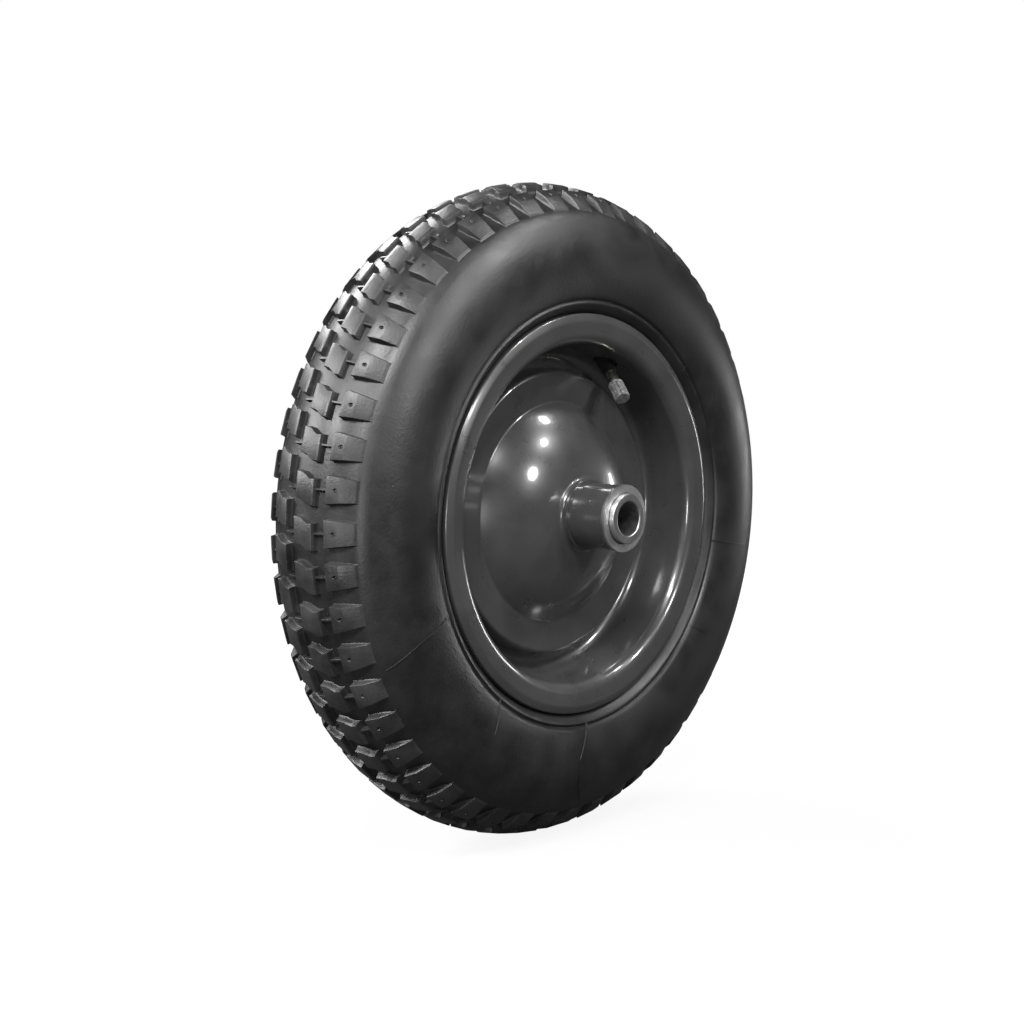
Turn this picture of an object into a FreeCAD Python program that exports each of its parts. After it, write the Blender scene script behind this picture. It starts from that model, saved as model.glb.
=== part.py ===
import FreeCAD, Part
import math
import os

# Pneumatic wheel, 4.00-8 size, in millimetres. The spin axis is Y, +Z is up and the origin is the
# wheel's centre. The near side, with the valve, faces -Y. Profiles are drawn as (radius, out), where
# out is the distance from the middle plane towards the side being made.

Vector = FreeCAD.Vector
ORIGIN = Vector(0, 0, 0)
SPIN = Vector(0, 1, 0)
NEAR = -1
FAR = 1

# Rim: two pressed half shells of steel sheet
sheet = 1.8
lip_radius = 117.5
lip_face_out = 37.7
lip_hem = 2.9
lip_edge_round = 2.3
seat_radius = 99.9
seat_bend = 6.0
seat_taper = 1.7
well_round = 5.5
weld_ring_inner = 86.2
weld_ring_round = 2.5
ledge_radius = 84.2
ledge_out = 13.8
ledge_round = 2.4
dome_foot_radius = 65.5
dome_foot_out = 12.2
dome_foot_round = 2.0
dome_crown_radius = 47.1
dome_crown_out = 31.3
dome_crown_round = 68.0
neck_root_out = 35.0
neck_round = 3.0
neck_length = 3.8

# Hub tube
tube_outer_radius = 19.0
tube_wall = 1.5
tube_half_length = 63.6
weld_gap = 0.05

# Bearings: 20 mm bore, 35 mm cup with a flange, caged balls
axle_radius = 10.0
press_gap = 0.02
ball_radius = 2.38
ball_count = 9
ball_pitch_radius = 14.0
ball_plane_out = 58.5
groove_gap = 0.07
cup_depth = 10.6
cup_land_radius = 16.0
flange_radius = 19.5
flange_thickness = 1.2
shield_thickness = 0.8
shield_hole_radius = 15.0
race_land_radius = 12.0
race_inner_end_out = 52.0
race_collar_radius = 14.5
race_collar_start_out = 62.2
race_end_out = 68.8
race_mouth_round = 0.8
race_edge_round = 0.6
cage_thickness = 0.8
cage_half_width = 3.1
cage_pocket_gap = 0.12

# Tyre: carcass
tyre_radius = 194.2
crown_round = 43.8
tread_depth = 4.0
crown_base_end_out = 27.0
shoulder_out = 33.0
shoulder_drop = 17.6
widest_out = 43.5
bulge_height = 20.6
rim_line_radius = 122.2
rim_line_out = 39.3
rim_line_height = 0.7
rim_line_foot = 2.2
rim_line_foot_drop = 2.1
crown_wall = 7.6
cavity_shoulder_inset = 0.8
side_wall = 4.5
bead_toe_out = 18.6
bead_gap = 0.25
bead_crease = 1.8
bead_wall = 5.4
bead_top_height = 4.0

# Tyre: tread blocks, two rows on each half, the far half turned by half a pitch
pitch_count = 52
centre_groove = 6.0
side_groove = 6.2
centre_block_width = 11.2
centre_block_length = 13.8
centre_block_skew = 3.7
edge_bend_start = 2.8
edge_bend_end = 6.9
edge_bend_share = 0.6
shoulder_block_inner_length = 15.0
shoulder_block_outer_length = 10.9
shoulder_facet_out = 26.2
shoulder_facet_drop = 9.3
shoulder_top_out = 32.2
shoulder_top_drop = 16.9
block_root = 1.5
block_trim = 1.0
tie_bar_width = 1.2
tie_bar_drop = 1.4
tie_bar_bite = 0.5
tread_turn = 1.28

# Inner tube
tube_rubber = 1.8
tube_gap = 0.4

# Valve, on an axis that leans out of the near rim half
valve_clock = 26.5
valve_lean = 43.5
valve_hole_out = 14.0
valve_hole_radius = 7.85
stem_root_start = -4.5
stem_root_radius = 4.8
stem_tip_radius = 3.9
stem_length = 11.0
stem_pad_radius = 8.0
stem_pad_thickness = 2.5
stem_pad_out = 10.6
brass_radius = 3.4
thread_radius = 3.85
brass_start = 3.0
thread_start = 18.5
brass_end = 29.5
core_bore_radius = 2.45
air_bore_start = -10.0
air_bore_radius = 1.5
core_seat = 8.0
core_gap = 0.08
core_body_start = 16.0
core_body_end = 28.2
core_body_bore = 1.0
pin_radius = 0.7
pin_end = 28.9
plunger_radius = 1.7
plunger_length = 2.0
plunger_gap = 0.3
pin_travel = 1.0
spring_coil_radius = 1.75
spring_wire_radius = 0.22
spring_turns = 4
cap_radius = 4.8
cap_length = 12.4
cap_end_wall = 1.9
cap_thread_gap = 0.1
cap_seal_thickness = 1.5
cap_seal_hole = 1.6
cap_rib_count = 12
cap_rib_groove = 0.55
cap_rib_start = 1.5
cap_end_round = 1.1

# Values that follow from the sizes above
tube_inner_radius = tube_outer_radius - tube_wall
flange_out = tube_half_length + flange_thickness
shield_out = flange_out + shield_thickness
groove_radius = ball_radius + groove_gap
well_radius = seat_radius - seat_taper
weld_plane_out = sheet
neck_radius = tube_outer_radius + weld_gap + sheet
crown_centre_radius = tyre_radius - crown_round
shoulder_radius = tyre_radius - shoulder_drop
widest_radius = rim_line_radius + bulge_height
centre_block_in = centre_groove / 2
centre_block_out = centre_block_in + centre_block_width
shoulder_block_in = centre_block_out + side_groove


def point(radius, out, side=FAR):
    return Vector(radius, side * out, 0)


def line(start, end):
    return Part.LineSegment(start, end).toShape()


def arc(start, middle, end):
    return Part.Arc(start, middle, end).toShape()


def rounded_path(corners):
    """Open wire through (radius, out, round) corners, each corner replaced by a tangent arc."""
    spots = [point(radius, out) for radius, out, _ in corners]
    edges = []
    here = spots[0]
    for i in range(1, len(corners) - 1):
        back = (spots[i - 1] - spots[i]).normalize()
        ahead = (spots[i + 1] - spots[i]).normalize()
        half_angle = back.getAngle(ahead) / 2
        size = corners[i][2]
        reach = size / math.tan(half_angle)
        centre = spots[i] + (back + ahead).normalize() * (size / math.sin(half_angle))
        start = spots[i] + back * reach
        end = spots[i] + ahead * reach
        middle = centre + (spots[i] - centre).normalize() * size
        edges.append(line(here, start))
        edges.append(arc(start, middle, end))
        here = end
    edges.append(line(here, spots[-1]))
    return Part.Wire(edges)


def turned(edges, side=FAR):
    """Solid of revolution about the spin axis from a closed outline drawn on the far side."""
    solid = Part.Face(Part.Wire(edges)).revolve(ORIGIN, SPIN, 360)
    if side == NEAR:
        solid = solid.mirror(ORIGIN, SPIN)
    return solid


def outline(corners):
    """Closed polygon edges through (radius, out) corners."""
    spots = [point(radius, out) for radius, out in corners]
    return [line(a, b) for a, b in zip(spots, spots[1:] + spots[:1])]


def seat_radius_at(out):
    """Radius of the rim's tyre side along the tapered bead seat."""
    slope = seat_taper / (lip_face_out - weld_plane_out)
    return well_radius + slope * (out - weld_plane_out) + sheet


def crown_radius_at(out, drop=0.0):
    """Radius of the tread crown, or of the surface a drop below it."""
    return crown_centre_radius + math.sqrt((crown_round - drop) ** 2 - out ** 2)


def turn(shape, degrees):
    copy = shape.copy()
    copy.rotate(ORIGIN, SPIN, degrees)
    return copy


# Valve axis: position 0 is where it crosses the inside of the bead seat
clock = math.radians(valve_clock)
lean = math.radians(valve_lean)
radial = Vector(math.sin(clock), 0, math.cos(clock))
valve_axis = radial * -math.cos(lean) + Vector(0, NEAR, 0) * math.sin(lean)
valve_origin = radial * (seat_radius_at(valve_hole_out) - sheet) + Vector(0, NEAR * valve_hole_out, 0)
VALVE = FreeCAD.Placement(valve_origin, FreeCAD.Rotation(Vector(0, 0, 1), valve_axis))


def on_valve(shape):
    """Place a shape made along +Z from the origin on the valve's axis."""
    shape.Placement = VALVE.multiply(shape.Placement)
    return shape


def rod(radius, start, end, tip_radius=None):
    """Round bar, or a cone, along +Z."""
    if tip_radius is None:
        return Part.makeCylinder(radius, end - start, Vector(0, 0, start))
    return Part.makeCone(radius, tip_radius, end - start, Vector(0, 0, start))


def radial_rod(radius, out, start, end):
    """Round bar that points along the valve's radial line at a distance out on the near side."""
    base = radial * start + Vector(0, NEAR * out, 0)
    return Part.makeCylinder(radius, end - start, base, radial)


def rim_half(side):
    corners = [
        (lip_radius, lip_face_out - lip_hem, 0),
        (lip_radius, lip_face_out, lip_edge_round),
        (seat_radius, lip_face_out, seat_bend),
        (well_radius, weld_plane_out, well_round),
        (weld_ring_inner, weld_plane_out, weld_ring_round),
        (ledge_radius, ledge_out, ledge_round),
        (dome_foot_radius, dome_foot_out, dome_foot_round),
        (dome_crown_radius, dome_crown_out, dome_crown_round),
        (neck_radius, neck_root_out, neck_round),
        (neck_radius, neck_root_out + neck_length, 0),
    ]
    section = rounded_path(corners).makeOffset2D(-sheet, 0, True, True)
    shell = section.revolve(ORIGIN, SPIN, 360)
    if side == NEAR:
        shell = shell.mirror(ORIGIN, SPIN)
        hole = radial_rod(valve_hole_radius, valve_hole_out, weld_ring_inner, lip_radius)
        shell = shell.cut(hole)
    return shell


def hub_tube():
    start = Vector(0, -tube_half_length, 0)
    outside = Part.makeCylinder(tube_outer_radius, 2 * tube_half_length, start, SPIN)
    return outside.cut(Part.makeCylinder(tube_inner_radius, 2 * tube_half_length, start, SPIN))


def groove_arc(land, inward):
    """Ball groove from the outer to the inner end of a land; inward is -1 for the inner race."""
    half = math.sqrt(groove_radius ** 2 - (land - ball_pitch_radius) ** 2)
    bottom = ball_pitch_radius + inward * groove_radius
    start = point(land, ball_plane_out + half)
    end = point(land, ball_plane_out - half)
    return start, end, arc(start, point(bottom, ball_plane_out), end)


def outer_race(side):
    start, end, groove = groove_arc(cup_land_radius, 1)
    barrel = tube_inner_radius - press_gap
    inner_end = tube_half_length - cup_depth
    spots = [
        point(cup_land_radius, inner_end),
        point(barrel, inner_end),
        point(barrel, tube_half_length),
        point(flange_radius, tube_half_length),
        point(flange_radius, flange_out),
        point(cup_land_radius, flange_out),
    ]
    edges = [line(end, spots[0])]
    edges += [line(a, b) for a, b in zip(spots, spots[1:])]
    edges += [line(spots[-1], start), groove]
    return turned(edges, side)


def inner_race(side):
    start, end, groove = groove_arc(race_land_radius, -1)
    bore_end = point(axle_radius, race_inner_end_out)
    mouth = race_mouth_round
    edge = race_edge_round
    diagonal = 1 - math.sqrt(0.5)
    mouth_start = point(axle_radius, race_end_out - mouth)
    mouth_end = point(axle_radius + mouth, race_end_out)
    mouth_middle = point(axle_radius + mouth * diagonal, race_end_out - mouth * diagonal)
    edge_start = point(race_collar_radius - edge, race_end_out)
    edge_end = point(race_collar_radius, race_end_out - edge)
    edge_middle = point(race_collar_radius - edge * diagonal, race_end_out - edge * diagonal)
    collar_back = point(race_collar_radius, race_collar_start_out)
    land_start = point(race_land_radius, race_collar_start_out)
    land_end = point(race_land_radius, race_inner_end_out)
    edges = [
        line(bore_end, mouth_start),
        arc(mouth_start, mouth_middle, mouth_end),
        line(mouth_end, edge_start),
        arc(edge_start, edge_middle, edge_end),
        line(edge_end, collar_back),
        line(collar_back, land_start),
        line(land_start, start),
        groove,
        line(end, land_end),
        line(land_end, bore_end),
    ]
    return turned(edges, side)


def bearing_shield(side):
    corners = [
        (shield_hole_radius, flange_out),
        (flange_radius, flange_out),
        (flange_radius, shield_out),
        (shield_hole_radius, shield_out),
    ]
    return turned(outline(corners), side)


def ball_set(side):
    ball = Part.makeSphere(ball_radius, Vector(0, side * ball_plane_out, ball_pitch_radius))
    return Part.makeCompound([turn(ball, i * 360 / ball_count) for i in range(ball_count)])


def ball_cage(side):
    inner = ball_pitch_radius - cage_thickness / 2
    outer = ball_pitch_radius + cage_thickness / 2
    corners = [
        (inner, ball_plane_out - cage_half_width),
        (outer, ball_plane_out - cage_half_width),
        (outer, ball_plane_out + cage_half_width),
        (inner, ball_plane_out + cage_half_width),
    ]
    band = turned(outline(corners), side)
    start = Vector(0, side * ball_plane_out, inner - 1)
    pocket = Part.makeCylinder(ball_radius + cage_pocket_gap, cage_thickness + 2, start, Vector(0, 0, 1))
    return band.cut(Part.makeCompound([turn(pocket, i * 360 / ball_count) for i in range(ball_count)]))


def cavity_edges(side):
    """Inside of the tyre on one side, from the crown's middle to the bead toe."""
    crown_top = tyre_radius - tread_depth - crown_wall
    shoulder_in = shoulder_out - cavity_shoulder_inset
    shoulder_in_radius = shoulder_radius - crown_wall
    crown_mid_out = crown_base_end_out / 2
    crown_mid = crown_radius_at(crown_mid_out, tread_depth) - crown_wall
    bead_top_radius = rim_line_radius + bead_top_height
    bead_top_out = rim_line_out - bead_wall
    spots = [
        point(crown_top, 0, side),
        point(crown_mid, crown_mid_out, side),
        point(shoulder_in_radius, shoulder_in, side),
        point(widest_radius, widest_out - side_wall, side),
        point(bead_top_radius, bead_top_out, side),
        point(seat_radius_at(bead_toe_out) + bead_gap, bead_toe_out, side),
    ]
    return [
        arc(spots[0], spots[1], spots[2]),
        arc(spots[2], spots[3], spots[4]),
        line(spots[4], spots[5]),
    ]


def outer_edges(side):
    """Outside of the carcass on one side, from the crown's middle to the bead toe."""
    base_mid = crown_base_end_out / 2
    flange_back = lip_face_out - sheet - bead_gap
    ridge_foot_radius = rim_line_radius - rim_line_foot
    hem_out = lip_face_out - lip_hem - bead_gap
    heel = seat_bend - sheet - bead_gap
    heel_radius = seat_radius_at(flange_back) + bead_gap
    diagonal = 1 - math.sqrt(0.5)
    spots = [
        point(crown_radius_at(0, tread_depth), 0, side),
        point(crown_radius_at(base_mid, tread_depth), base_mid, side),
        point(crown_radius_at(crown_base_end_out, tread_depth), crown_base_end_out, side),
        point(shoulder_radius, shoulder_out, side),
        point(widest_radius, widest_out, side),
        point(rim_line_radius + rim_line_height, rim_line_out - rim_line_height, side),
        point(rim_line_radius, rim_line_out, side),
        point(ridge_foot_radius, rim_line_out - rim_line_foot_drop, side),
        point(lip_radius + bead_gap, hem_out, side),
        point(lip_radius - 2 * bead_crease, hem_out, side),
        point(lip_radius - 3 * bead_crease, flange_back, side),
        point(heel_radius + heel, flange_back, side),
        point(heel_radius + heel * diagonal, flange_back - heel * diagonal, side),
        point(heel_radius, flange_back - heel, side),
        point(seat_radius_at(bead_toe_out) + bead_gap, bead_toe_out, side),
    ]
    edges = [
        arc(spots[0], spots[1], spots[2]),
        line(spots[2], spots[3]),
        arc(spots[3], spots[4], spots[5]),
    ]
    edges += [line(a, b) for a, b in zip(spots[5:11], spots[6:12])]
    edges += [arc(spots[11], spots[12], spots[13]), line(spots[13], spots[14])]
    return edges


def carcass():
    edges = outer_edges(FAR) + cavity_edges(FAR) + outer_edges(NEAR) + cavity_edges(NEAR)
    section = Part.Face(Part.Wire(Part.__sortEdges__(edges)))
    return section.revolve(ORIGIN, SPIN, 360)


def tread_band(corners):
    """Ring that a row of blocks is cut from, with its outside at the tread's surface."""
    return turned(outline(corners))


def block(plan, band):
    """One tread block: a plan of (along, out) corners pushed up through its band."""
    foot = shoulder_radius - 2 * tread_depth
    spots = [Vector(along, out, foot) for along, out in plan]
    edges = [line(a, b) for a, b in zip(spots, spots[1:] + spots[:1])]
    prism = Part.Face(Part.Wire(edges)).extrude(Vector(0, 0, tyre_radius))
    return prism.common(band)


def centre_block():
    band = tread_band([
        (crown_radius_at(centre_block_in, tread_depth + block_root), centre_block_in - block_trim),
        (crown_radius_at(centre_block_in), centre_block_in - block_trim),
        (crown_radius_at(centre_block_out), centre_block_out + block_trim),
        (crown_radius_at(centre_block_out, tread_depth + block_root), centre_block_out + block_trim),
    ])
    half = centre_block_length / 2
    skew = centre_block_skew / 2
    edge = [
        (skew, centre_block_out),
        (skew, centre_block_out - edge_bend_start),
        (-edge_bend_share * skew, centre_block_out - edge_bend_end),
        (-skew, centre_block_in),
    ]
    plan = [(along - half, out) for along, out in edge]
    plan += [(along + half, out) for along, out in reversed(edge)]
    return block(plan, band)


def shoulder_block():
    band = tread_band([
        (crown_radius_at(shoulder_block_in, tread_depth + block_root), shoulder_block_in - block_trim),
        (crown_radius_at(shoulder_block_in), shoulder_block_in - block_trim),
        (tyre_radius - shoulder_facet_drop, shoulder_facet_out),
        (tyre_radius - shoulder_top_drop, shoulder_top_out),
        (shoulder_radius - block_root, shoulder_out - block_root),
        (crown_radius_at(crown_base_end_out, tread_depth + block_root), crown_base_end_out - block_root),
    ])
    inner = shoulder_block_inner_length / 2
    outer = shoulder_block_outer_length / 2
    reach = shoulder_top_out + block_trim
    plan = [(-inner, shoulder_block_in), (-outer, reach), (outer, reach), (inner, shoulder_block_in)]
    return block(plan, band)


def tie_bar(start_out, end_out):
    """Low rib across a groove, its top below the blocks."""
    top = crown_radius_at(max(abs(start_out), abs(end_out)), tie_bar_drop)
    foot = crown_radius_at(max(abs(start_out), abs(end_out)), tread_depth + block_root)
    corner = Vector(-tie_bar_width / 2, start_out, foot)
    return Part.makeBox(tie_bar_width, end_out - start_out, top - foot, corner)


def tyre():
    side_tie = tie_bar(centre_block_out - tie_bar_bite, shoulder_block_in + tie_bar_bite)
    far_pieces = [centre_block(), shoulder_block(), side_tie]
    centre_tie = tie_bar(-centre_block_in - tie_bar_bite, centre_block_in)
    pitch = 360 / pitch_count
    tread = []
    for i in range(pitch_count):
        near_angle = tread_turn + i * pitch
        for piece in far_pieces:
            tread.append(turn(piece, near_angle + pitch / 2))
            facing = piece.copy()
            facing.rotate(ORIGIN, Vector(0, 0, 1), 180)
            tread.append(turn(facing, near_angle))
        tread.append(turn(centre_tie, near_angle))
    return carcass().fuse(tread)


def inner_tube():
    floor_radius = seat_radius_at(bead_toe_out) + bead_gap
    floor = line(point(floor_radius, bead_toe_out), point(floor_radius, bead_toe_out, NEAR))
    edges = cavity_edges(FAR) + cavity_edges(NEAR) + [floor]
    cavity = Part.Wire(Part.__sortEdges__(edges))
    outside = cavity.makeOffset2D(-tube_gap)
    inside = cavity.makeOffset2D(-tube_gap - tube_rubber)
    section = Part.Face(outside).cut(Part.Face(inside))
    tube = section.revolve(ORIGIN, SPIN, 360)
    hole_start = floor_radius - 2 * stem_pad_thickness
    hole_end = floor_radius + 2 * stem_pad_thickness
    return tube.cut(radial_rod(stem_pad_radius, stem_pad_out, hole_start, hole_end))


def valve_stem():
    floor = seat_radius_at(bead_toe_out) + bead_gap + tube_gap
    reach = stem_pad_out + 2 * stem_pad_radius
    shell = turned(outline([
        (floor, 0),
        (floor + stem_pad_thickness, 0),
        (floor + stem_pad_thickness, reach),
        (floor, reach),
    ]), NEAR)
    pad = radial_rod(stem_pad_radius, stem_pad_out, floor - reach, floor + reach).common(shell)
    body = rod(stem_root_radius, stem_root_start, 0)
    body = body.fuse(rod(stem_root_radius, 0, stem_length, stem_tip_radius))
    stem = pad.fuse(on_valve(body))
    stem = stem.cut(on_valve(rod(brass_radius, brass_start, stem_length + 1)))
    return stem.cut(on_valve(rod(air_bore_radius, air_bore_start, brass_start + 1)))


def valve_body():
    body = rod(brass_radius, brass_start, thread_start).fuse(rod(thread_radius, thread_start, brass_end))
    body = body.cut(rod(core_bore_radius, core_seat, brass_end + 1))
    return on_valve(body.cut(rod(air_bore_radius, brass_start - 1, core_seat + 1)))


def valve_core_body():
    body = rod(core_bore_radius - core_gap, core_body_start, core_body_end)
    return on_valve(body.cut(rod(core_body_bore, core_body_start - 1, core_body_end + 1)))


def valve_core_pin():
    plunger_top = core_body_start - plunger_gap
    pin = rod(pin_radius, plunger_top - plunger_length, pin_end)
    return on_valve(pin.fuse(rod(plunger_radius, plunger_top - plunger_length, plunger_top)))


def valve_core_spring():
    """Coil that stands on the seat in the valve body, clear of the plunger over its travel."""
    base = core_seat + spring_wire_radius
    plunger_foot = core_body_start - plunger_gap - plunger_length
    top = plunger_foot - pin_travel - plunger_gap - spring_wire_radius
    height = top - base
    helix = Part.makeHelix(height / spring_turns, height, spring_coil_radius)
    helix.translate(Vector(0, 0, base))
    wire_end = Part.Wire(Part.makeCircle(spring_wire_radius, Vector(spring_coil_radius, 0, base), SPIN))
    return on_valve(Part.Wire(helix.Edges).makePipeShell([wire_end], True, True))


def valve_cap():
    seal_top = brass_end + cap_seal_thickness
    cap_end = seal_top + cap_end_wall
    cap_start = cap_end - cap_length
    cap = rod(cap_radius, cap_start, cap_end)
    end_edge = max(cap.Edges, key=lambda edge: edge.CenterOfMass.z)
    cap = cap.makeFillet(cap_end_round, [end_edge])
    cap = cap.cut(rod(thread_radius + cap_thread_gap, cap_start - 1, seal_top))
    groove = Part.makeCylinder(cap_rib_groove, cap_length, Vector(cap_radius, 0, cap_start + cap_rib_start))
    grooves = []
    for i in range(cap_rib_count):
        copy = groove.copy()
        copy.rotate(ORIGIN, Vector(0, 0, 1), i * 360 / cap_rib_count)
        grooves.append(copy)
    return on_valve(cap.cut(Part.makeCompound(grooves)))


def valve_cap_seal():
    seal = rod(thread_radius, brass_end, brass_end + cap_seal_thickness)
    return on_valve(seal.cut(rod(cap_seal_hole, brass_end - 1, brass_end + cap_seal_thickness + 1)))


os.makedirs("parts", exist_ok=True)
nodes = {
    "tyre": tyre(),
    "inner_tube": inner_tube(),
    "hub_tube": hub_tube(),
    "valve_stem": valve_stem(),
    "valve_body": valve_body(),
    "valve_core_body": valve_core_body(),
    "valve_core_pin": valve_core_pin(),
    "valve_core_spring": valve_core_spring(),
    "valve_cap": valve_cap(),
    "valve_cap_seal": valve_cap_seal(),
}
for name, side in (("near", NEAR), ("far", FAR)):
    nodes[name + "_rim_half"] = rim_half(side)
    nodes[name + "_outer_race"] = outer_race(side)
    nodes[name + "_bearing_shield"] = bearing_shield(side)
    nodes[name + "_balls"] = ball_set(side)
    nodes[name + "_ball_cage"] = ball_cage(side)
    nodes[name + "_inner_race"] = inner_race(side)
for name, shape in nodes.items():
    shape.exportStep("parts/" + name + ".step")
    print(name, len(shape.Solids), round(shape.Volume, 1), shape.isValid())
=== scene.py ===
import bpy
import bmesh
import math
from mathutils import Matrix, Vector


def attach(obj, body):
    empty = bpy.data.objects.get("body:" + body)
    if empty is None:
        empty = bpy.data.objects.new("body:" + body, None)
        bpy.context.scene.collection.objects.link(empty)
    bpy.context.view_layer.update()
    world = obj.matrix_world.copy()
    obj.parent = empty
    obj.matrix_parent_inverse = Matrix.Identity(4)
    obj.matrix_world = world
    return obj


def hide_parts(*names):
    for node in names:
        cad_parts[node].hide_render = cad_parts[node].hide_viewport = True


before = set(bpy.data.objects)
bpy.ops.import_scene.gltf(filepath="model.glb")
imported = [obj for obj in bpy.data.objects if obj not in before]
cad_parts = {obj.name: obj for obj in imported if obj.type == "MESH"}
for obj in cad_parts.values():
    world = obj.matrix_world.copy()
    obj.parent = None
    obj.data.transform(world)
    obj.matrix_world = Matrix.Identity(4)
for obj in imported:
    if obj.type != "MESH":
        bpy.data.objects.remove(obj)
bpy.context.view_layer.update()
MM = 0.001
NEAR = -1
FAR = 1

# Sizes in millimetres. Profiles are (radius, out), with out measured from the wheel's middle plane.
TYRE_RADIUS = 194.05
CROWN_ROUND = 43.8
TREAD_DEPTH = 4.0
PITCH_COUNT = 52
TREAD_TURN = 1.28

# Centre blocks: each long edge steps sideways, here as (share of half the skew, inset from the outer end)
CENTRE_IN = 3.0
CENTRE_OUT = 14.2
CENTRE_LENGTH = 13.8
CENTRE_SKEW = 3.7
CENTRE_EDGE = ((1.0, 0.0), (1.0, 2.8), (-0.6, 6.9), (-0.8, 9.0))

# Shoulder blocks: a flat top as far as the facet line, then a facet down to the shoulder
SHOULDER_IN = 20.4
SHOULDER_FACET = (184.9, 26.2)
SHOULDER_TOP = (177.8, 32.0)
SHOULDER_HALF_IN = 7.5
SHOULDER_HALF_OUT = 5.6
SHOULDER_OUTS = (SHOULDER_IN, 22.6, 26.0, 26.4, 29.0, SHOULDER_TOP[1])
PIN_MARK_OUT = 24.6
PIN_MARK_SIZE = 1.2
PIN_MARK_DEPTH = 0.8

# Tie bars: low ribs across the grooves, which run a little way into the blocks
BAR_TOP = 2.6
BAR_HALF_WIDTH = 0.6
BAR_BITE = 0.9
BAR_SLIM = 0.4
SIDE_GROOVE_MIDDLE = 17.3

# How far above the groove floor, and how far out from the block's edge, each ring of its foot lies
FOOT_RINGS = ((-0.5, 0.9), (0.1, 0.5), (0.5, 0.26), (1.9, 0.12))
# How far below the top, and how far in from the edge, each ring of its rounded rim lies
RIM_RINGS = ((0.45, 0.0), (0.12, 0.12), (0.0, 0.42))

# Tyre's outside between the blocks, from the crown over the shoulder to the sidewall
GROOVE_FLOOR_OUTS = (1.5, 3, 4.5, 6, 8, 10, 12, 14, 16, 18, 20, 22, 24, 25.4)
SHOULDER_BEND = (
    (179.95, 26.9), (178.95, 28.4), (178.05, 30.0), (177.15, 31.5), (176.05, 32.9), (174.6, 34.15),
)
SIDEWALL_ARC = ((173.0, 35.49), (142.8, 43.5), (126.5, 40.07))
# Shallow groove and rounded ring at the sidewall's inner edge, next to the rim's lip
BEAD_RING = (
    (126.5, 40.07), (126.15, 39.75), (125.95, 39.2), (125.5, 38.7), (124.9, 38.55), (124.5, 38.8),
    (124.2, 39.15), (123.6, 39.4), (122.9, 39.25), (122.2, 38.75), (121.2, 37.85), (120.1, 36.8),
    (119.1, 35.6), (118.4, 34.6),
)
BEAD_SEAT = (
    (117.7, 34.1), (113.9, 34.4), (110.5, 35.3), (107.4, 35.1), (105.3, 34.2), (103.7, 32.7), (102.4, 30.4),
    (101.6, 27.5), (101.2, 18.6),
)
TYRE_INSIDE = (
    (126.0, 33.6), (142.8, 38.9), (158.0, 37.6), (169.0, 32.2), (176.0, 22.0), (181.0, 12.0), (182.6, 0),
)

# Thin raised mould lines and ticks on the near sidewall, each a run of (clock degrees, radius) points
MOULD_LINES = (
    ((-110.4, 123.6), (-110.8, 134.0), (-111.4, 152.0), (-113.4, 174.0)),
    ((-141.6, 123.6), (-143.2, 143.7)),
    ((-179.0, 123.6), (-174.7, 144.0), (-175.5, 160.0), (-178.0, 170.0)),
    ((128.5, 125.9), (127.4, 138.0)),
    ((102.2, 123.8), (101.7, 159.6)),
    ((47.4, 121.8), (47.5, 126.6)),
    ((75.0, 121.8), (75.1, 126.6)),
)
MOULD_LINE_WIDTH = 0.8
MOULD_LINE_HEIGHT = 0.45
MOULD_LINE_STEPS = 8

# Rim half: (radius, out, round) corners of its shown side, from the lip over well, ledge and dome to the neck
SHEET = 1.8
RIM_CORNERS = (
    (117.6, 34.8, 0), (117.6, 37.2, 1.4), (113.0, 38.9, 4.0), (100.4, 36.9, 7.5), (98.2, 1.8, 8.6),
    (86.2, 1.8, 2.5), (84.2, 13.8, 2.4), (65.5, 12.2, 2.0), (47.1, 31.3, 68.0), (20.85, 35.0, 3.0),
    (20.85, 38.8, 0),
)
RIM_STEPS = 240
VALVE_CLOCK = math.radians(26.5)
VALVE_HOLE_RADIUS = 7.85
VALVE_HOLE_OUT = 14.0
VALVE_HOLE_SEAT = 100.0
VALVE_HOLE_DEPTH = 24.0


# Camera at the photograph's angle, one metre from the wheel's centre
AZIMUTH = math.radians(-48.294)
ELEVATION = math.radians(6.122)
back = Vector((math.sin(AZIMUTH) * math.cos(ELEVATION), -math.cos(AZIMUTH) * math.cos(ELEVATION),
               math.sin(ELEVATION)))
right = Vector((math.cos(AZIMUTH), math.sin(AZIMUTH), 0))
camera_data = bpy.data.cameras.new("camera")
camera_data.sensor_width = 36
camera_data.lens = 58.39
camera_data.shift_x = -0.02708
camera_data.shift_y = -0.00163
camera = bpy.data.objects.new("camera", camera_data)
bpy.context.scene.collection.objects.link(camera)
camera_turn = Matrix((right, back.cross(right), back)).transposed()
camera.matrix_world = Matrix.Translation(back) @ camera_turn.to_4x4()
bpy.context.scene.camera = camera


# Finishes
def linear(hex_colour):
    """Linear RGBA from an sRGB hex value."""
    parts = [int(hex_colour[i:i + 2], 16) / 255 for i in (1, 3, 5)]
    return [p / 12.92 if p <= 0.04045 else ((p + 0.055) / 1.055) ** 2.4 for p in parts] + [1.0]


def node(tree, kind, inputs=None, **settings):
    """Add a shader node, set its options, then give each input a value or a link."""
    made = tree.nodes.new("ShaderNode" + kind)
    for name, value in settings.items():
        setattr(made, name, value)
    for name, value in (inputs or {}).items():
        if isinstance(value, bpy.types.NodeSocket):
            tree.links.new(value, made.inputs[name])
        else:
            made.inputs[name].default_value = value
    return made


def new_material(name):
    material = bpy.data.materials.new(name)
    material.use_nodes = True
    material.node_tree.nodes.clear()
    return material, material.node_tree


def per_metre(size_mm):
    """Texture scale that makes one feature about size_mm wide."""
    return 1000.0 / size_mm


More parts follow.
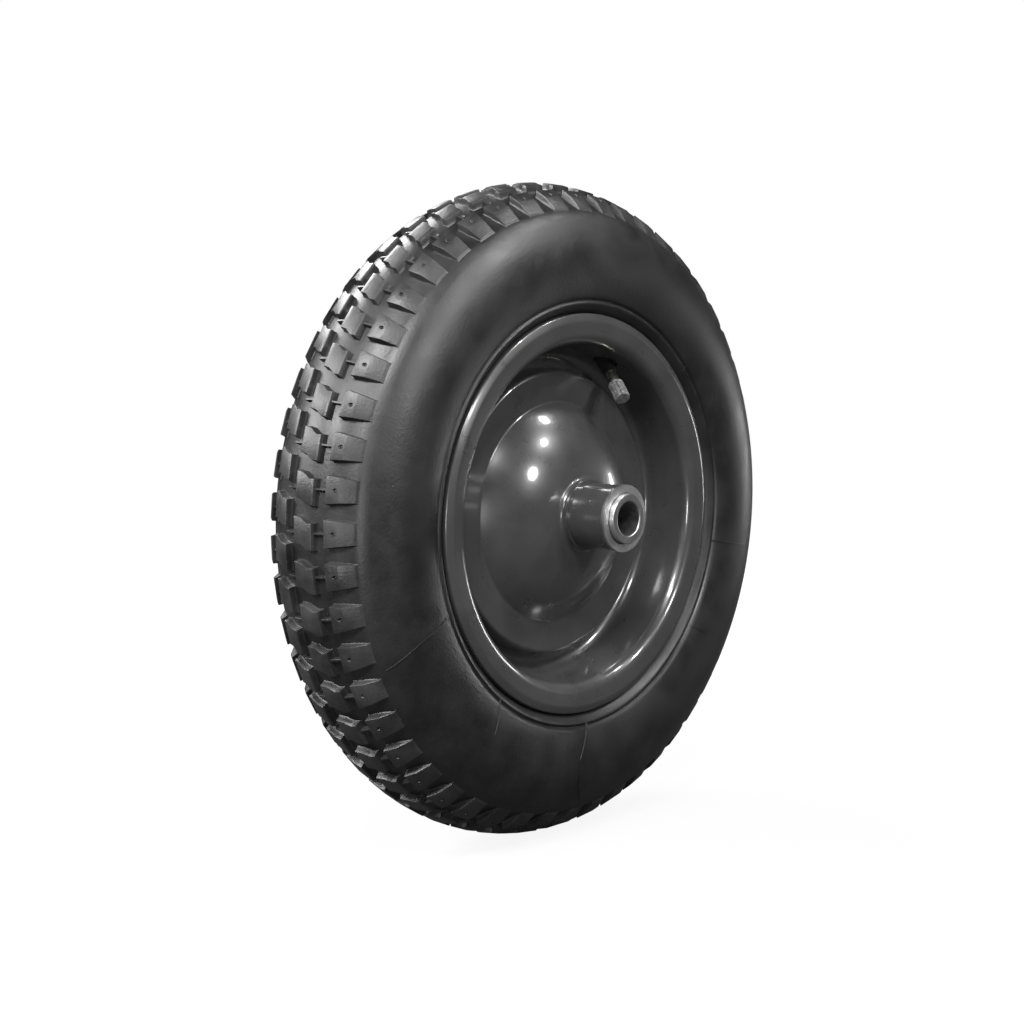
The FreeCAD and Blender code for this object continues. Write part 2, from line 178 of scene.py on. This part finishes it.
def mottle(tree, size_mm, detail, low, high, dark, light):
    """Soft patches between two grey levels, size_mm across."""
    place = node(tree, "TexCoord")
    noise = node(tree, "TexNoise", {"Vector": place.outputs["Object"], "Scale": per_metre(size_mm),
                                    "Detail": detail, "Roughness": 0.6})
    return node(tree, "MapRange", {"Value": noise.outputs["Fac"], "From Min": low, "From Max": high,
                                   "To Min": dark, "To Max": light})


def black_rubber(name, base, worn, rough_low, rough_high, grain_mm, grain_depth_mm):
    """Vulcanised rubber as it leaves the mould: near black, with a faint grey bloom and a fine grain.

    Real moulded grain is finer than the render shows, so it is drawn as coarse as it needs to show.
    """
    material, tree = new_material(name)
    bloom = mottle(tree, 22.0, 5.0, 0.35, 0.7, 0.0, 1.0)
    scuff = mottle(tree, 2.4, 6.0, 0.55, 0.78, 0.0, 0.6)
    dust = mottle(tree, 1.1, 1.0, 0.80, 0.86, 0.0, 1.0)
    wear = node(tree, "Math", {0: bloom.outputs[0], 1: scuff.outputs[0]}, operation="MAXIMUM")
    tone = node(tree, "Mix", {"Factor": wear.outputs[0], "A": linear(base), "B": linear(worn)},
                data_type="RGBA")
    specked = node(tree, "Mix", {"Factor": dust.outputs[0], "A": tone.outputs["Result"],
                                 "B": linear("#6a6a6a")}, data_type="RGBA")
    rough = node(tree, "MapRange", {"Value": wear.outputs[0], "To Min": rough_low, "To Max": rough_high})
    place = node(tree, "TexCoord")
    grain = node(tree, "TexNoise", {"Vector": place.outputs["Object"], "Scale": per_metre(grain_mm),
                                    "Detail": 4.0})
    bump = node(tree, "Bump", {"Height": grain.outputs["Fac"], "Distance": grain_depth_mm * MM,
                               "Strength": 1.0})
    shader = node(tree, "BsdfPrincipled", {"Base Color": specked.outputs["Result"],
                                           "Roughness": rough.outputs[0],
                                           "Normal": bump.outputs["Normal"], "IOR": 1.52})
    node(tree, "OutputMaterial", {"Surface": shader.outputs[0]})
    return material


def gloss_paint(name, base, shade):
    """Stoved enamel on pressed steel: a clear gloss, with the slight orange peel that sprayed paint has."""
    material, tree = new_material(name)
    cloud = mottle(tree, 30.0, 3.0, 0.35, 0.65, 0.0, 1.0)
    tone = node(tree, "Mix", {"Factor": cloud.outputs[0], "A": linear(base), "B": linear(shade)},
                data_type="RGBA")
    place = node(tree, "TexCoord")
    peel = node(tree, "TexNoise", {"Vector": place.outputs["Object"], "Scale": per_metre(7.0), "Detail": 1.0})
    bump = node(tree, "Bump", {"Height": peel.outputs["Fac"], "Distance": 0.03 * MM, "Strength": 1.0})
    smear = mottle(tree, 14.0, 4.0, 0.3, 0.7, 0.26, 0.34)
    shader = node(tree, "BsdfPrincipled", {"Base Color": tone.outputs["Result"],
                                           "Roughness": smear.outputs[0],
                                           "Normal": bump.outputs["Normal"], "IOR": 1.5,
                                           "Coat Weight": 0.8, "Coat Roughness": 0.09})
    node(tree, "OutputMaterial", {"Surface": shader.outputs[0]})
    return material


def turned_metal(name, base, dull, rough_low, rough_high, ring_mm):
    """Metal turned on a lathe: rings round the axle and a soft shine.

    Real turning rings are finer than the render shows, so they are drawn as coarse as they need to show.
    """
    material, tree = new_material(name)
    place = node(tree, "TexCoord")
    split = node(tree, "SeparateXYZ", {"Vector": place.outputs["Object"]})
    square_x = node(tree, "Math", {0: split.outputs["X"], 1: split.outputs["X"]}, operation="MULTIPLY")
    square = node(tree, "Math", {0: split.outputs["Z"], 1: split.outputs["Z"], 2: square_x.outputs[0]},
                  operation="MULTIPLY_ADD")
    radius = node(tree, "Math", {0: square.outputs[0]}, operation="SQRT")
    across = node(tree, "CombineXYZ", {"X": radius.outputs[0], "Y": split.outputs["Y"]})
    rings = node(tree, "TexNoise", {"Vector": across.outputs[0], "Scale": per_metre(ring_mm), "Detail": 3.0})
    patches = mottle(tree, 5.0, 4.0, 0.35, 0.7, 0.0, 1.0)
    tone = node(tree, "Mix", {"Factor": patches.outputs[0], "A": linear(base), "B": linear(dull)},
                data_type="RGBA")
    rough = node(tree, "MapRange", {"Value": patches.outputs[0], "To Min": rough_low, "To Max": rough_high})
    bump = node(tree, "Bump", {"Height": rings.outputs["Fac"], "Distance": 0.02 * MM, "Strength": 0.6})
    shader = node(tree, "BsdfPrincipled", {"Base Color": tone.outputs["Result"],
                                           "Roughness": rough.outputs[0],
                                           "Metallic": 1.0, "Normal": bump.outputs["Normal"]})
    node(tree, "OutputMaterial", {"Surface": shader.outputs[0]})
    return material


def moulded_plastic(name, base, worn):
    """Injection-moulded polyethylene: satin, with a faint moulding grain and paler worn ridges."""
    material, tree = new_material(name)
    patches = mottle(tree, 1.8, 4.0, 0.4, 0.75, 0.0, 1.0)
    tone = node(tree, "Mix", {"Factor": patches.outputs[0], "A": linear(base), "B": linear(worn)},
                data_type="RGBA")
    place = node(tree, "TexCoord")
    grain = node(tree, "TexNoise", {"Vector": place.outputs["Object"], "Scale": per_metre(0.5),
                                    "Detail": 2.0})
    bump = node(tree, "Bump", {"Height": grain.outputs["Fac"], "Distance": 0.03 * MM, "Strength": 0.7})
    shader = node(tree, "BsdfPrincipled", {"Base Color": tone.outputs["Result"], "Roughness": 0.42,
                                           "Normal": bump.outputs["Normal"], "IOR": 1.5})
    node(tree, "OutputMaterial", {"Surface": shader.outputs[0]})
    return material


# Smooth sidewall and groove rubber, glossier than the blocks because the mould is polished there
sidewall_rubber = black_rubber("moulded_sidewall_rubber", "#0d0d0d", "#1a1a1a", 0.38, 0.50, 1.6, 0.10)
# Block rubber, greyer and drier where it has been handled
tread_rubber = black_rubber("moulded_tread_rubber", "#161616", "#2e2e2e", 0.34, 0.50, 1.2, 0.14)
# Valve stem and tube rubber, soft black
stem_rubber = black_rubber("soft_black_rubber", "#101010", "#1c1c1c", 0.45, 0.6, 1.0, 0.03)
# Rim paint, dark grey with small clear reflections
rim_enamel = gloss_paint("dark_grey_stoved_enamel", "#323232", "#393939")
# Race steel, light grey with a soft ring of light
bearing_steel = turned_metal("turned_bearing_steel", "#c6c6c6", "#a9a9a9", 0.28, 0.42, 0.5)
# Shield plating, paler and duller than the race
shield_zinc = turned_metal("zinc_plated_shield", "#d2d2d2", "#b4b4b4", 0.34, 0.5, 0.8)
# Ball steel, close to a mirror
polished_balls = turned_metal("polished_ball_steel", "#dadada", "#cfcfcf", 0.08, 0.14, 2.0)
# Valve plating, a slightly warm grey metal
nickel_brass = turned_metal("nickel_plated_brass", "#b3b0a8", "#8c8a84", 0.22, 0.4, 0.6)
# Cap plastic, mid grey and satin
cap_plastic = moulded_plastic("grey_moulded_polythene", "#4c4c4c", "#7a7a7a")

finishes = {
    "inner_tube": stem_rubber, "hub_tube": rim_enamel, "near_rim_half": rim_enamel,
    "far_rim_half": rim_enamel, "valve_stem": stem_rubber, "valve_body": nickel_brass,
    "valve_core_body": nickel_brass,
    "valve_core_pin": nickel_brass, "valve_core_spring": nickel_brass, "valve_cap": cap_plastic,
    "valve_cap_seal": stem_rubber, "tyre": sidewall_rubber,
}
for side_name in ("near", "far"):
    finishes[side_name + "_outer_race"] = bearing_steel
    finishes[side_name + "_inner_race"] = bearing_steel
    finishes[side_name + "_bearing_shield"] = shield_zinc
    finishes[side_name + "_balls"] = polished_balls
    finishes[side_name + "_ball_cage"] = bearing_steel
for name, material in finishes.items():
    cad_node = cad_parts[name]
    if not cad_node.material_slots:
        cad_node.data.materials.append(material)
    for material_slot in cad_node.material_slots:
        material_slot.material = material


# Profiles
def crown_radius(out, drop=0.0):
    """Radius of the tread's round crown, or of the surface that lies a drop below it."""
    return TYRE_RADIUS - CROWN_ROUND + math.sqrt((CROWN_ROUND - drop) ** 2 - out ** 2)


def arc_points(start, middle, end, count):
    """Points on the circle through three (radius, out) points, without the last one."""
    (ax, ay), (bx, by), (cx, cy) = start, middle, end
    double_cross = 2 * (ax * (by - cy) + bx * (cy - ay) + cx * (ay - by))
    a_square = ax * ax + ay * ay
    b_square = bx * bx + by * by
    c_square = cx * cx + cy * cy
    centre_x = (a_square * (by - cy) + b_square * (cy - ay) + c_square * (ay - by)) / double_cross
    centre_y = (a_square * (cx - bx) + b_square * (ax - cx) + c_square * (bx - ax)) / double_cross
    size = math.hypot(ax - centre_x, ay - centre_y)
    first = math.atan2(ay - centre_y, ax - centre_x)
    sweep = math.atan2(cy - centre_y, cx - centre_x) - first
    sweep = (sweep + math.pi) % (2 * math.pi) - math.pi
    angles = [first + sweep * i / count for i in range(count)]
    return [(centre_x + size * math.cos(a), centre_y + size * math.sin(a)) for a in angles]


def rounded(corners, step_degrees=7.0):
    """Polyline through (radius, out, round) corners, with each corner turned into a tangent arc."""
    points = [Vector(corners[0][:2])]
    for (ax, ay, _), (bx, by, size), (cx, cy, _) in zip(corners, corners[1:], corners[2:]):
        corner = Vector((bx, by))
        back_way = (Vector((ax, ay)) - corner).normalized()
        ahead = (Vector((cx, cy)) - corner).normalized()
        half_angle = back_way.angle(ahead) / 2
        centre = corner + (back_way + ahead).normalized() * (size / math.sin(half_angle))
        start = corner + back_way * (size / math.tan(half_angle)) - centre
        turn_by = math.pi - 2 * half_angle
        if back_way.cross(ahead) > 0:
            turn_by = -turn_by
        count = max(3, round(abs(math.degrees(turn_by)) / step_degrees))
        for i in range(count + 1):
            a = turn_by * i / count
            points.append(centre + Vector((start.x * math.cos(a) - start.y * math.sin(a),
                                           start.x * math.sin(a) + start.y * math.cos(a))))
    points.append(Vector(corners[-1][:2]))
    return points


def thickened(points, wall):
    """Closed outline of a sheet whose shown side follows the points."""
    behind = []
    for i, here in enumerate(points):
        way = (points[min(i + 1, len(points) - 1)] - points[max(i - 1, 0)]).normalized()
        behind.append(here - Vector((way.y, -way.x)) * wall)
    return [tuple(p) for p in points] + [tuple(p) for p in reversed(behind)]


def half_profile():
    """Outside of the tyre from the middle of the crown to the bead toe, then the inside back to the crown."""
    points = [(crown_radius(0, TREAD_DEPTH), 0)]
    points += [(crown_radius(out, TREAD_DEPTH), out) for out in GROOVE_FLOOR_OUTS]
    points += SHOULDER_BEND
    points += arc_points(*SIDEWALL_ARC, 24)
    points += BEAD_RING
    points += BEAD_SEAT
    points += TYRE_INSIDE
    return points


half = half_profile()


def floor_radius(out):
    """Radius of the tyre's outside between the blocks."""
    for (radius_a, out_a), (radius_b, out_b) in zip(half, half[1:]):
        if out_a <= out <= out_b:
            return radius_a + (radius_b - radius_a) * (out - out_a) / (out_b - out_a)
    return half[0][0]


def sidewall_out(radius):
    """How far out the sidewall stands at a radius."""
    for (radius_a, out_a), (radius_b, out_b) in zip(half, half[1:]):
        if radius_b <= radius <= radius_a and out_a > 30:
            return out_a + (out_b - out_a) * (radius_a - radius) / (radius_a - radius_b)
    return 0.0


def shoulder_height(out):
    """Top of a shoulder block: nearly flat as far as the facet line, then a facet down to the shoulder."""
    radius, facet_out = SHOULDER_FACET
    if out <= facet_out:
        share = (out - SHOULDER_IN) / (facet_out - SHOULDER_IN)
        start = crown_radius(SHOULDER_IN)
        return start + (radius - start) * share
    share = (out - facet_out) / (SHOULDER_TOP[1] - facet_out)
    return radius + (SHOULDER_TOP[0] - radius) * share


def shoulder_half(out):
    """Half the length of a shoulder block, which narrows outwards."""
    share = (out - SHOULDER_IN) / (SHOULDER_TOP[1] - SHOULDER_IN)
    return SHOULDER_HALF_IN + (SHOULDER_HALF_OUT - SHOULDER_HALF_IN) * share


def bar_height(out):
    return crown_radius(out, TREAD_DEPTH - BAR_TOP)


# Mesh helpers
def spun(mesh, profile, steps):
    """Turn a closed (radius, out) profile round the spin axis."""
    rings = []
    for i in range(steps):
        angle = 2 * math.pi * i / steps
        sine = math.sin(angle) * MM
        cosine = math.cos(angle) * MM
        rings.append([mesh.verts.new((radius * sine, out * MM, radius * cosine)) for radius, out in profile])
    for i in range(steps):
        here, there = rings[i], rings[(i + 1) % steps]
        for j in range(len(profile)):
            k = (j + 1) % len(profile)
            mesh.faces.new((here[j], here[k], there[k], there[j]))


def mesh_object(name, mesh, materials, angle=30):
    """Object from a bmesh, smooth except along edges sharper than the angle."""
    bmesh.ops.recalc_face_normals(mesh, faces=mesh.faces)
    data = bpy.data.meshes.new(name)
    mesh.to_mesh(data)
    mesh.free()
    for material in materials:
        data.materials.append(material)
    data.polygons.foreach_set("use_smooth", [True] * len(data.polygons))
    data.set_sharp_from_angle(angle=math.radians(angle))
    made = bpy.data.objects.new(name, data)
    bpy.context.scene.collection.objects.link(made)
    return made


def dress(made, cad_node):
    """Put a piece in the place of its solid."""
    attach(made, "wheel")
    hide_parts(cad_node)


def cut_away(mesh, cutter_mesh):
    """The first mesh less the second, both closed. Both are used up."""
    pair = []
    for work in (mesh, cutter_mesh):
        data = bpy.data.meshes.new("work")
        work.to_mesh(data)
        work.free()
        pair.append(bpy.data.objects.new("work", data))
        bpy.context.scene.collection.objects.link(pair[-1])
    cut = pair[0].modifiers.new("cut", "BOOLEAN")
    cut.operation = "DIFFERENCE"
    cut.object = pair[1]
    cut.solver = "EXACT"
    result = bmesh.new()
    result.from_object(pair[0], bpy.context.evaluated_depsgraph_get())
    for work in pair:
        bpy.data.objects.remove(work)
    return result


def mould_line(mesh, path):
    """Thin raised line on the near sidewall, along (clock degrees, radius) points."""
    steps = []
    for (clock_a, radius_a), (clock_b, radius_b) in zip(path, path[1:]):
        for i in range(MOULD_LINE_STEPS):
            clock = clock_a + (clock_b - clock_a) * i / MOULD_LINE_STEPS
            radius = radius_a + (radius_b - radius_a) * i / MOULD_LINE_STEPS
            steps.append((clock, radius))
    steps.append(path[-1])
    rows = []
    for i, (clock, radius) in enumerate(steps):
        angle = math.radians(clock)
        along = Vector((math.cos(angle), 0, -math.sin(angle)))
        away = Vector((math.sin(angle), 0, math.cos(angle)))
        clock_a, radius_a = steps[max(i - 1, 0)]
        clock_b, radius_b = steps[min(i + 1, len(steps) - 1)]
        turned = math.radians(clock_b - clock_a) * radius
        across = (along * (radius_b - radius_a) - away * turned).normalized()
        out = sidewall_out(radius)
        row = []
        for share, lift in ((-0.5, -0.3), (-0.3, MOULD_LINE_HEIGHT), (0.3, MOULD_LINE_HEIGHT), (0.5, -0.3)):
            spot = away * radius + across * (share * MOULD_LINE_WIDTH) + Vector((0, -out - lift, 0))
            row.append(mesh.verts.new(spot * MM))
        rows.append(row)
    for low, high in zip(rows, rows[1:]):
        for j in range(4):
            k = (j + 1) % 4
            mesh.faces.new((low[j], low[k], high[k], high[j]))
    mesh.faces.new(rows[0])
    mesh.faces.new(rows[-1])


def grown(loop, size):
    """The closed (along, out) loop, moved outwards by a distance."""
    area = sum(a.x * b.y - b.x * a.y for a, b in zip(loop, loop[1:] + loop[:1]))
    way = 1 if area > 0 else -1
    moved = []
    for before, here, after in zip(loop[-1:] + loop[:-1], loop, loop[1:] + loop[:1]):
        first = (here - before).normalized()
        second = (after - here).normalized()
        first_side = Vector((first.y, -first.x)) * way
        second_side = Vector((second.y, -second.x)) * way
        moved.append(here + (first_side + second_side) / (1 + first_side.dot(second_side)) * size)
    return moved


def block_ring(mesh, spots, radii):
    """Points of a block at the top of the wheel, each at its own distance from the axle."""
    made = []
    for spot, radius in zip(spots, radii):
        made.append(mesh.verts.new((spot.x, spot.y, math.sqrt(radius * radius - spot.x * spot.x))))
    return made


def block(lefts, rights, height, full_height=TREAD_DEPTH, slim=1.0):
    """One tread block at the top of the wheel, from matching (along, out) points on its two long edges."""
    loop = [Vector(p) for p in lefts] + [Vector(p) for p in reversed(rights)]
    rooms = [min(1.0, (height(edge.y) - floor_radius(abs(edge.y))) / full_height) for edge in loop]
    mesh = bmesh.new()
    rings = []
    for lift, spread in FOOT_RINGS:
        spots = grown(loop, spread * slim)
        lifts = [lift * room if lift > 0 else lift for room in rooms]
        radii = [floor_radius(abs(spot.y)) + rise for spot, rise in zip(spots, lifts)]
        rings.append(block_ring(mesh, spots, radii))
    for drop, inset in RIM_RINGS:
        spots = grown(loop, -inset * slim)
        radii = [height(spot.y) - drop * room for spot, room in zip(spots, rooms)]
        rings.append(block_ring(mesh, spots, radii))
    count = len(loop)
    for low, high in zip(rings, rings[1:]):
        for i in range(count):
            j = (i + 1) % count
            mesh.faces.new((low[i], low[j], high[j], high[i]))
    for cap in (rings[0], rings[-1]):
        for i in range(len(lefts) - 1):
            mesh.faces.new((cap[i], cap[i + 1], cap[count - 2 - i], cap[count - 1 - i]))
    bmesh.ops.recalc_face_normals(mesh, faces=mesh.faces)
    return mesh


def dimple(mesh, along, out, level, size, depth):
    """Sink a round pin mark into the top of a block, with a small pip at its bottom."""
    pin = bmesh.new()
    middle = Matrix.Translation((along, out, level - depth / 2 + 0.5))
    bmesh.ops.create_cone(pin, cap_ends=True, segments=14, radius1=size * 0.8, radius2=size * 1.15,
                          depth=depth + 1.0, matrix=middle)
    result = cut_away(mesh, pin)
    bmesh.ops.create_uvsphere(result, u_segments=8, v_segments=5, radius=size * 0.42,
                              matrix=Matrix.Translation((along, out, level - depth)))
    return result


def tie_bar(outs):
    """Low rib across a groove."""
    lefts = [(-BAR_HALF_WIDTH, out) for out in outs]
    rights = [(BAR_HALF_WIDTH, out) for out in outs]
    return block(lefts, rights, bar_height, BAR_TOP, BAR_SLIM)


def add_copy(target, source, angle, flip, slot_index):
    """Copy a block, made at the top of the wheel, into the tyre's mesh at an angle, in metres."""
    half_turn = Matrix.Rotation(math.pi, 4, "Z") if flip else Matrix.Identity(4)
    place = Matrix.Rotation(angle, 4, "Y") @ half_turn @ Matrix.Scale(MM, 4)
    made = {}
    for vert in source.verts:
        made[vert.index] = target.verts.new(place @ vert.co)
    for face in source.faces:
        new = target.faces.new([made[v.index] for v in face.verts])
        new.material_index = slot_index


# Tyre: spun carcass, then two rows of blocks and their tie bars on each half, and the mould lines
centre_edge = [(share * CENTRE_SKEW / 2, CENTRE_OUT - inset) for share, inset in CENTRE_EDGE]
centre_edge.append((-CENTRE_SKEW / 2, CENTRE_IN))
centre_block = block([(along - CENTRE_LENGTH / 2, out) for along, out in centre_edge],
                     [(along + CENTRE_LENGTH / 2, out) for along, out in centre_edge], crown_radius)
shoulder_block = block([(-shoulder_half(out), out) for out in SHOULDER_OUTS],
                       [(shoulder_half(out), out) for out in SHOULDER_OUTS], shoulder_height)
shoulder_block = dimple(shoulder_block, 0.0, PIN_MARK_OUT, shoulder_height(PIN_MARK_OUT), PIN_MARK_SIZE,
                        PIN_MARK_DEPTH)
side_bar = tie_bar((CENTRE_OUT - BAR_BITE, SIDE_GROOVE_MIDDLE, SHOULDER_IN + BAR_BITE))
centre_bar = tie_bar((-CENTRE_IN - BAR_BITE, 0.0, CENTRE_IN + BAR_BITE))

tyre_mesh = bmesh.new()
spun(tyre_mesh, half + [(radius, -out) for radius, out in reversed(half[1:-1])], PITCH_COUNT * 5)
for piece in (centre_block, shoulder_block, side_bar, centre_bar):
    piece.verts.index_update()
for i in range(PITCH_COUNT):
    near_angle = math.radians(TREAD_TURN + i * 360 / PITCH_COUNT)
    far_angle = near_angle + math.pi / PITCH_COUNT
    for piece in (centre_block, shoulder_block, side_bar):
        add_copy(tyre_mesh, piece, near_angle, True, 1)
        add_copy(tyre_mesh, piece, far_angle, False, 1)
    add_copy(tyre_mesh, centre_bar, near_angle, False, 1)
for piece in (centre_block, shoulder_block, side_bar, centre_bar):
    piece.free()
for line_path in MOULD_LINES:
    mould_line(tyre_mesh, line_path)
tyre = mesh_object("tyre_block_tread", tyre_mesh, [sidewall_rubber, tread_rubber])
dress(tyre, "tyre")

# Rim halves: pressed sheet, smooth round every bend, with the valve's hole in the near one
shell = thickened(rounded(RIM_CORNERS), SHEET)
for side, rim_name in ((NEAR, "near_rim_half"), (FAR, "far_rim_half")):
    rim_mesh = bmesh.new()
    spun(rim_mesh, [(radius, side * out) for radius, out in shell], RIM_STEPS)
    bmesh.ops.recalc_face_normals(rim_mesh, faces=rim_mesh.faces)
    if side == NEAR:
        hole = bmesh.new()
        stand = Matrix.Translation((0, -VALVE_HOLE_OUT * MM, VALVE_HOLE_SEAT * MM))
        bmesh.ops.create_cone(hole, cap_ends=True, segments=48, radius1=VALVE_HOLE_RADIUS * MM,
                              radius2=VALVE_HOLE_RADIUS * MM, depth=VALVE_HOLE_DEPTH * MM,
                              matrix=Matrix.Rotation(VALVE_CLOCK, 4, "Y") @ stand)
        rim_mesh = cut_away(rim_mesh, hole)
    rim = mesh_object(rim_name + "_pressing", rim_mesh, [rim_enamel])
    dress(rim, rim_name)

# Floor: grey paper to the lamps, so that little light comes up at the tyre, with a white glow that only
# the camera sees. The tyre's shadow is where the paper gets less light.
FLOOR_LEVEL = -0.1945
FLOOR_SIZE = 6.0
floor_mesh = bmesh.new()
bmesh.ops.create_grid(floor_mesh, x_segments=1, y_segments=1, size=FLOOR_SIZE)
floor = mesh_object("studio_floor", floor_mesh, [])
floor.location = (0, 0, FLOOR_LEVEL)
floor_paper, floor_tree = new_material("white_paper_floor")
floor_path = node(floor_tree, "LightPath")
paper = node(floor_tree, "BsdfDiffuse", {"Color": linear("#404040")})
floor_place = node(floor_tree, "TexCoord")
distance = node(floor_tree, "VectorMath", {0: floor_place.outputs["Object"]}, operation="LENGTH")
glow_level = node(floor_tree, "MapRange", {"Value": distance.outputs["Value"], "From Min": 0.3,
                                           "From Max": 1.2, "To Min": 0.9, "To Max": 1.0})
glow = node(floor_tree, "Emission", {"Color": (1, 1, 1, 1), "Strength": glow_level.outputs[0]})
dark = node(floor_tree, "Emission", {"Color": (0, 0, 0, 1), "Strength": 0.0})
seen = node(floor_tree, "MixShader", {0: floor_path.outputs["Is Camera Ray"], 1: dark.outputs[0],
                                      2: glow.outputs[0]})
lit_paper = node(floor_tree, "AddShader", {0: paper.outputs[0], 1: seen.outputs[0]})
node(floor_tree, "OutputMaterial", {"Surface": lit_paper.outputs[0]})
floor.data.materials.append(floor_paper)

# Surroundings: white to the camera, and nearly dark to everything else
world = bpy.data.worlds.new("studio_white")
bpy.context.scene.world = world
world.use_nodes = True
world_tree = world.node_tree
world_tree.nodes.clear()
world_path = node(world_tree, "LightPath")
sky_level = node(world_tree, "MapRange", {"Value": world_path.outputs["Is Camera Ray"], "To Min": 0.04,
                                          "To Max": 1.0})
sky = node(world_tree, "Background", {"Color": (1, 1, 1, 1), "Strength": sky_level.outputs[0]})
node(world_tree, "OutputWorld", {"Surface": sky.outputs[0]})


def lamp(name, direction, distance, size, power, height=None):
    """Round soft lamp, or a rectangular one where it has a height, that looks at the wheel's centre."""
    data = bpy.data.lights.new(name, "AREA")
    data.energy = power
    data.shape = "RECTANGLE" if height else "DISK"
    data.size = size
    if height:
        data.size_y = height
    made = bpy.data.objects.new(name, data)
    made.location = Vector(direction).normalized() * distance
    made.rotation_euler = Vector(direction).to_track_quat("Z", "Y").to_euler()
    bpy.context.scene.collection.objects.link(made)


lamp("upper_left_key_lamp", (-0.61, -0.35, 0.71), 1.5, 0.35, 20)
lamp("front_left_lamp", (-0.45, -0.58, 0.68), 1.5, 0.12, 8)
lamp("left_lamp", (-0.88, -0.02, 0.47), 1.5, 0.35, 16)
lamp("back_left_lamp", (-0.70, 0.56, 0.44), 1.5, 0.6, 22)
lamp("back_top_softbox", (0.0, 0.72, 0.66), 1.5, 1.2, 30, 0.5)
lamp("upper_right_lamp", (0.46, -0.38, 0.80), 1.5, 0.16, 5)
lamp("front_right_lamp", (0.32, -0.68, 0.66), 1.5, 0.12, 9)
lamp("front_lamp", (0.05, -0.92, 0.39), 1.5, 0.24, 8)
lamp("left_softbox", (-0.77, -0.64, 0.0), 1.6, 0.2, 6.0, 0.32)
lamp("right_strip", (0.97, -0.22, 0.0), 1.5, 0.14, 2.4, 0.3)

bpy.context.scene.view_settings.view_transform = "Standard"
